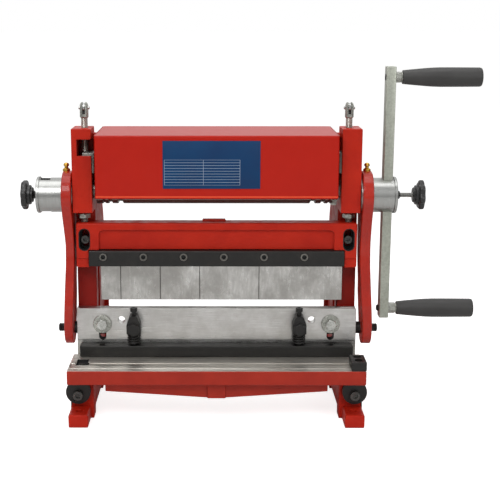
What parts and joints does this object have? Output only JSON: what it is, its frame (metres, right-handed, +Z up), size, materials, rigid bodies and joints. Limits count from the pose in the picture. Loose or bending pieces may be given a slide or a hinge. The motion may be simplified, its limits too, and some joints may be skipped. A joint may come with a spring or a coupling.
{
  "type": "combination sheet metal machine",
  "caption": "Bench-top sheet metal machine with shear table, press-brake dies, covered bending rolls, two side frames, eccentric arms and a double-ended hand crank.",
  "frame": {"origin": "on the bench under the middle of the machine's box", "axes": "+X to the crank's side, +Y to the back, +Z up"},
  "size_m": [0.57, 0.198, 0.437],
  "materials": {
    "red_paint": "semi-gloss enamel",
    "ground_steel": "ground",
    "bright_steel": "turned",
    "zinc_plate": "zinc plated",
    "black_oxide": "black oxide",
    "black_plastic": "satin moulded"
  },
  "bodies": {
    "machine_frame": {"side_frame_left": "red_paint", "side_frame_right": "red_paint", "bed": "red_paint", "bed_blade": "ground_steel", "side_guide": "black_oxide", "cam_screw_left": "black_oxide", "cam_screw_right": "black_oxide", "ram_bolt_left": "zinc_plate", "ram_bolt_right": "zinc_plate", "beam_screw_left": "black_oxide", "beam_screw_right": "black_oxide", "jack_stud_left": "zinc_plate", "jack_stud_right": "zinc_plate", "roll_cover": "red_paint"},
    "cam_left_body": {"cam_disc_left": "black_oxide"},
    "cam_right_body": {"cam_disc_right": "black_oxide"},
    "ram_body": {"ram": "ground_steel", "ram_blade": "ground_steel", "press_bracket_left": "black_oxide", "press_bracket_right": "black_oxide", "press_screw_left": "black_oxide", "press_screw_right": "black_oxide", "hold_down_spring_left": "black_oxide", "hold_down_spring_right": "black_oxide"},
    "hold_down_body": {"hold_down_bar": "black_oxide"},
    "beam_body": {"upper_beam": "red_paint", "clamp_bar": "black_oxide", "finger_die_1": "ground_steel", "finger_die_2": "ground_steel", "finger_die_3": "ground_steel", "finger_die_4": "ground_steel", "finger_die_5": "ground_steel"},
    "drive_body": {"lower_roll": "ground_steel", "drive_gear": "ground_steel", "eccentric_hub_left": "bright_steel", "eccentric_hub_right": "bright_steel", "crank_bar": "zinc_plate", "grip_spindle_upper": "bright_steel", "grip_spindle_lower": "bright_steel"},
    "upper_grip_body": {"crank_grip_upper": "black_plastic"},
    "lower_grip_body": {"crank_grip_lower": "black_plastic"},
    "left_knob_body": {"clamp_knob_left": "black_plastic", "knob_rod_left": "black_oxide"},
    "right_knob_body": {"clamp_knob_right": "black_plastic", "knob_rod_right": "black_oxide"},
    "left_arm_body": {"arm_left": "red_paint", "arm_pin_left": "black_oxide"},
    "right_arm_body": {"arm_right": "red_paint", "arm_pin_right": "black_oxide"},
    "upper_roll_carrier": {"bearing_block_left": "ground_steel", "bearing_block_right": "ground_steel"},
    "upper_roll_body": {"upper_roll": "ground_steel", "upper_gear": "ground_steel"},
    "left_screw_body": {"adjusting_screw_left": "zinc_plate", "clevis_left": "bright_steel"},
    "right_screw_body": {"adjusting_screw_right": "zinc_plate", "clevis_right": "bright_steel"},
    "rear_roll_carrier": {"rear_eyebolt_left": "zinc_plate", "rear_eyebolt_right": "zinc_plate"},
    "rear_roll_body": {"rear_roll": "ground_steel"}
  },
  "joints": [
    {"name": "drive", "type": "hinge", "parent": "machine_frame", "child": "drive_body", "pos_m": [-0.04, -0.025, 0.2855], "axis": [1, 0, 0], "range_deg": [0, 180]},
    {"name": "ram_slide", "type": "slide", "parent": "machine_frame", "child": "ram_body", "axis": [0, 0, 1], "range_m": [0, 0.013]},
    {"name": "left_arm", "type": "hinge", "parent": "drive_body", "child": "left_arm_body", "pos_m": [-0.22, -0.025, 0.279], "axis": [1, 0, 0], "range_deg": [-180, 0]},
    {"name": "right_arm", "type": "hinge", "parent": "drive_body", "child": "right_arm_body", "pos_m": [0.14, -0.025, 0.279], "axis": [1, 0, 0], "range_deg": [-180, 0]},
    {"name": "hold_down_slide", "type": "slide", "parent": "ram_body", "child": "hold_down_body", "axis": [0, 0, 1], "range_m": [0, 0.003], "stiffness_N_per_m": 4000, "springref_m": -0.002, "deforming": ["hold_down_spring_left", "hold_down_spring_right"]},
    {"name": "beam_slide", "type": "slide", "parent": "machine_frame", "child": "beam_body", "axis": [0, 0, 1], "range_m": [0, 0.004]},
    {"name": "upper_roll_slide", "type": "slide", "parent": "machine_frame", "child": "upper_roll_carrier", "axis": [0, 0, 1], "range_m": [0, 0.003]},
    {"name": "upper_roll_turn", "type": "hinge", "parent": "upper_roll_carrier", "child": "upper_roll_body", "pos_m": [-0.04, -0.025, 0.3202], "axis": [1, 0, 0], "range_deg": [-180, 0]},
    {"name": "left_screw", "type": "hinge", "parent": "upper_roll_carrier", "child": "left_screw_body", "pos_m": [-0.202, -0.025, 0.374], "axis": [0, 0, 1], "range_deg": [0, 720]},
    {"name": "right_screw", "type": "hinge", "parent": "upper_roll_carrier", "child": "right_screw_body", "pos_m": [0.122, -0.025, 0.374], "axis": [0, 0, 1], "range_deg": [0, 720]},
    {"name": "rear_roll_slide", "type": "slide", "parent": "machine_frame", "child": "rear_roll_carrier", "axis": [0, 0, 1], "range_m": [0, 0.008]},
    {"name": "rear_roll_turn", "type": "hinge", "parent": "rear_roll_carrier", "child": "rear_roll_body", "pos_m": [-0.04, 0.019, 0.296], "axis": [1, 0, 0], "continuous": true},
    {"name": "upper_grip_turn", "type": "hinge", "parent": "drive_body", "child": "upper_grip_body", "pos_m": [0.1865, -0.025, 0.4235], "axis": [1, 0, 0], "continuous": true},
    {"name": "lower_grip_turn", "type": "hinge", "parent": "drive_body", "child": "lower_grip_body", "pos_m": [0.1865, -0.025, 0.1345], "axis": [1, 0, 0], "continuous": true},
    {"name": "left_knob", "type": "hinge", "parent": "drive_body", "child": "left_knob_body", "pos_m": [-0.2648, -0.025, 0.279], "axis": [-1, 0, 0], "range_deg": [0, 360]},
    {"name": "right_knob", "type": "hinge", "parent": "drive_body", "child": "right_knob_body", "pos_m": [0.1848, -0.025, 0.279], "axis": [1, 0, 0], "range_deg": [0, 360]},
    {"name": "left_cam", "type": "hinge", "parent": "machine_frame", "child": "cam_left_body", "pos_m": [-0.2125, -0.0698, 0.0335], "axis": [0, 1, 0], "range_deg": [-90, 90]},
    {"name": "right_cam", "type": "hinge", "parent": "machine_frame", "child": "cam_right_body", "pos_m": [0.1325, -0.0698, 0.0335], "axis": [0, 1, 0], "range_deg": [-90, 90]}
  ],
  "couplings": [
    {"joint": "ram_slide", "follows": "drive", "m_per_rad": 0.004138},
    {"joint": "left_arm", "follows": "drive", "ratio": -1},
    {"joint": "right_arm", "follows": "drive", "ratio": -1},
    {"joint": "upper_roll_turn", "follows": "drive", "ratio": -1},
    {"joint": "left_screw", "follows": "upper_roll_slide", "rad_per_m": 4188.8},
    {"joint": "right_screw", "follows": "upper_roll_slide", "rad_per_m": 4188.8}
  ]
}
